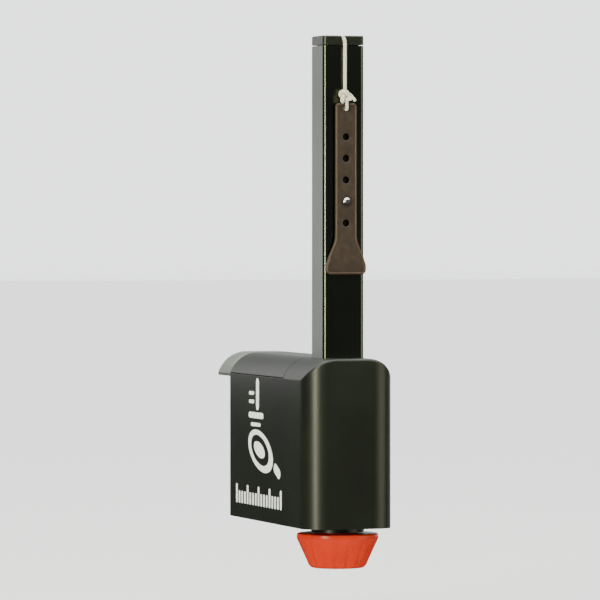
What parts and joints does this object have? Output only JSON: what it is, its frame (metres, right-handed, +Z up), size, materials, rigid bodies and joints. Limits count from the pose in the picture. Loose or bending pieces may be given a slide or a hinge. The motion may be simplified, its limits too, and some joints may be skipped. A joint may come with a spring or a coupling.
{
  "type": "table tennis net clamp",
  "caption": "Clamp-on net post for a table tennis table: black arm with rounded nose, square post raised by an orange knob, and a holed strap that tensions the net cord.",
  "frame": {"origin": "centre of the rubber face that rests on top of the table's rail", "axes": "+Z up along the post; +Y inwards over the table along the net's line; +X across the net's line"},
  "size_m": [0.046, 0.164, 0.2604],
  "materials": {
    "black_abs": "satin moulded black ABS, fine texture",
    "black_anodised": "satin black anodised extrusion",
    "black_nylon": "smooth moulded black nylon",
    "orange_plastic": "satin moulded orange plastic",
    "cast_aluminium": "fine-blasted cast aluminium, machined faces",
    "grey_rubber": "moulded dark rubber",
    "white_guide_plastic": "natural acetal",
    "brown_strap": "dark bronze flexible polyurethane",
    "white_cord": "braided polyester cord",
    "zinc_steel": "bright zinc-plated steel",
    "black_steel": "black oxide steel",
    "bronze": "machined bronze",
    "stainless": "bright stainless steel"
  },
  "bodies": {
    "frame": {"clamp_frame": "cast_aluminium", "body_shell": "black_abs", "top_cover": "black_abs", "bottom_cover": "black_abs", "bottom_cover_screws": "black_steel", "top_cover_screws": "zinc_steel", "side_screws": "black_steel", "seat_pad": "grey_rubber", "upper_post_guide": "white_guide_plastic", "lower_post_guide": "white_guide_plastic", "spindle_bush": "bronze", "thrust_washer": "zinc_steel"},
    "height_knob": {"height_knob": "orange_plastic", "height_spindle": "zinc_steel", "knob_screw": "zinc_steel", "retaining_ring": "black_steel"},
    "post": {"post_tube": "black_anodised", "post_cap": "black_nylon", "post_foot": "black_nylon", "lift_nut": "bronze", "foot_pin": "zinc_steel", "tension_peg": "stainless", "tension_strap": "brown_strap", "net_cord": "white_cord", "cord_loop": "white_cord", "cord_knot": "white_cord", "cord_end_knot": "white_cord"},
    "clamp_pad": {"clamp_pad": "zinc_steel", "pad_rubber": "grey_rubber"},
    "clamp_screw": {"clamp_screw": "zinc_steel", "thumb_knob": "black_nylon"}
  },
  "joints": [
    {"name": "knob_turn", "type": "hinge", "parent": "frame", "child": "height_knob", "pos_m": [0, -0.122, -0.08], "axis": [0, 0, 1], "range_deg": [-1080, 720]},
    {"name": "post_lift", "type": "slide", "parent": "frame", "child": "post", "axis": [0, 0, 1], "range_m": [-0.004, 0.006]},
    {"name": "clamp_lift", "type": "slide", "parent": "frame", "child": "clamp_pad", "axis": [0, 0, 1], "range_m": [-0.011, 0.01]},
    {"name": "clamp_turn", "type": "hinge", "parent": "clamp_pad", "child": "clamp_screw", "pos_m": [0, 0, -0.05], "axis": [0, 0, 1], "range_deg": [-1980, 1800]}
  ],
  "couplings": [
    {"joint": "knob_turn", "follows": "post_lift", "rad_per_m": -3141.6},
    {"joint": "clamp_turn", "follows": "clamp_lift", "rad_per_m": 3141.6}
  ]
}
